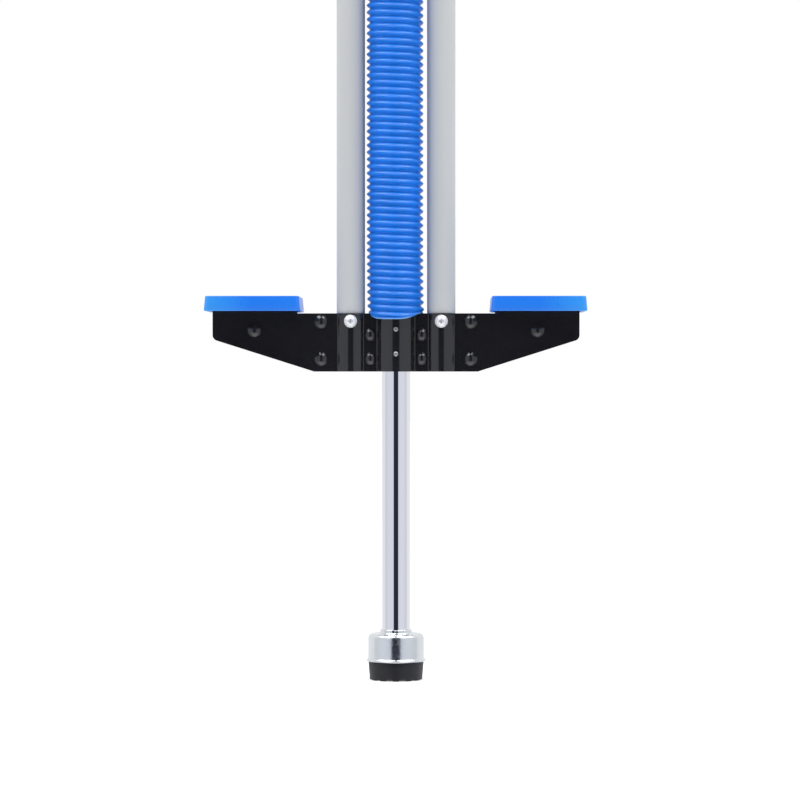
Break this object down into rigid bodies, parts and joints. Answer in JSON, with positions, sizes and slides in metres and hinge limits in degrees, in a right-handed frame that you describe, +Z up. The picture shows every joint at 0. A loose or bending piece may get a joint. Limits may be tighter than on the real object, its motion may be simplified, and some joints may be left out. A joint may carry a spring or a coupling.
{
  "type": "pogo stick",
  "caption": "Twin-tube pogo stick with a sprung sliding piston, stamped brackets, foot pads, a corrugated sleeve, handlebar grips and a cupped rubber foot.",
  "frame": {"origin": "centre of the rubber tip's sole on the ground", "axes": "+Z up along the piston, +X to the right pad and grip as the screw-head side is seen, -Y is the screw-head side"},
  "size_m": [0.322, 0.08, 0.93],
  "materials": {
    "tube_paint": "smooth satin silver-grey paint",
    "bracket_paint": "glossy black powder coat",
    "chrome": "polished",
    "bright_steel": "bright drawn",
    "zinc_steel": "zinc plated",
    "rivet_alloy": "bright blind rivets",
    "spring_steel": "oiled black",
    "pad_plastic": "moulded, satin gloss",
    "sleeve_plastic": "blow-moulded, glossy",
    "grip_rubber": "soft, satin",
    "black_rubber": "matte",
    "tip_rubber": "moulded, satin",
    "black_plastic": "fine texture",
    "nylon": "natural"
  },
  "bodies": {
    "frame": {"left_side_tube": "tube_paint", "right_side_tube": "tube_paint", "tube_end_plugs": "black_plastic", "left_grip": "grip_rubber", "right_grip": "grip_rubber", "front_foot_bracket": "bracket_paint", "rear_foot_bracket": "bracket_paint", "foot_bracket_rivets": "bracket_paint", "foot_bracket_spacers": "zinc_steel", "front_head_bracket": "bracket_paint", "rear_head_bracket": "bracket_paint", "head_bracket_rivets": "bracket_paint", "head_bracket_spacers": "zinc_steel", "tube_screws": "zinc_steel", "tube_lock_nuts": "zinc_steel", "guide_rivets": "rivet_alloy", "left_foot_pad": "pad_plastic", "right_foot_pad": "pad_plastic", "foot_pad_screws": "zinc_steel", "guide_bush": "nylon", "rebound_washer": "black_rubber", "corrugated_sleeve": "sleeve_plastic", "head_plug": "nylon", "head_cap": "black_plastic", "guide_rod": "bright_steel", "upper_spring_washer": "zinc_steel", "bump_stop": "black_rubber", "coil_spring": "spring_steel"},
    "spring_seat": {"thrust_washer": "zinc_steel"},
    "piston": {"piston_tube": "chrome", "piston_top_guide": "nylon", "stop_collar": "bright_steel", "collar_pin": "spring_steel", "foot_cup": "chrome", "foot_plug": "bright_steel", "rubber_tip": "tip_rubber", "tip_washer": "zinc_steel", "tip_bolt": "zinc_steel"}
  },
  "joints": [
    {"name": "piston_slide", "type": "slide", "parent": "frame", "child": "spring_seat", "axis": [0, 0, 1], "range_m": [0, 0.13], "stiffness_N_per_m": 5600, "springref_m": -0.03, "deforming": ["coil_spring"]},
    {"name": "piston_spin", "type": "hinge", "parent": "spring_seat", "child": "piston", "pos_m": [0, 0, 0.3], "axis": [0, 0, 1], "continuous": true}
  ]
}
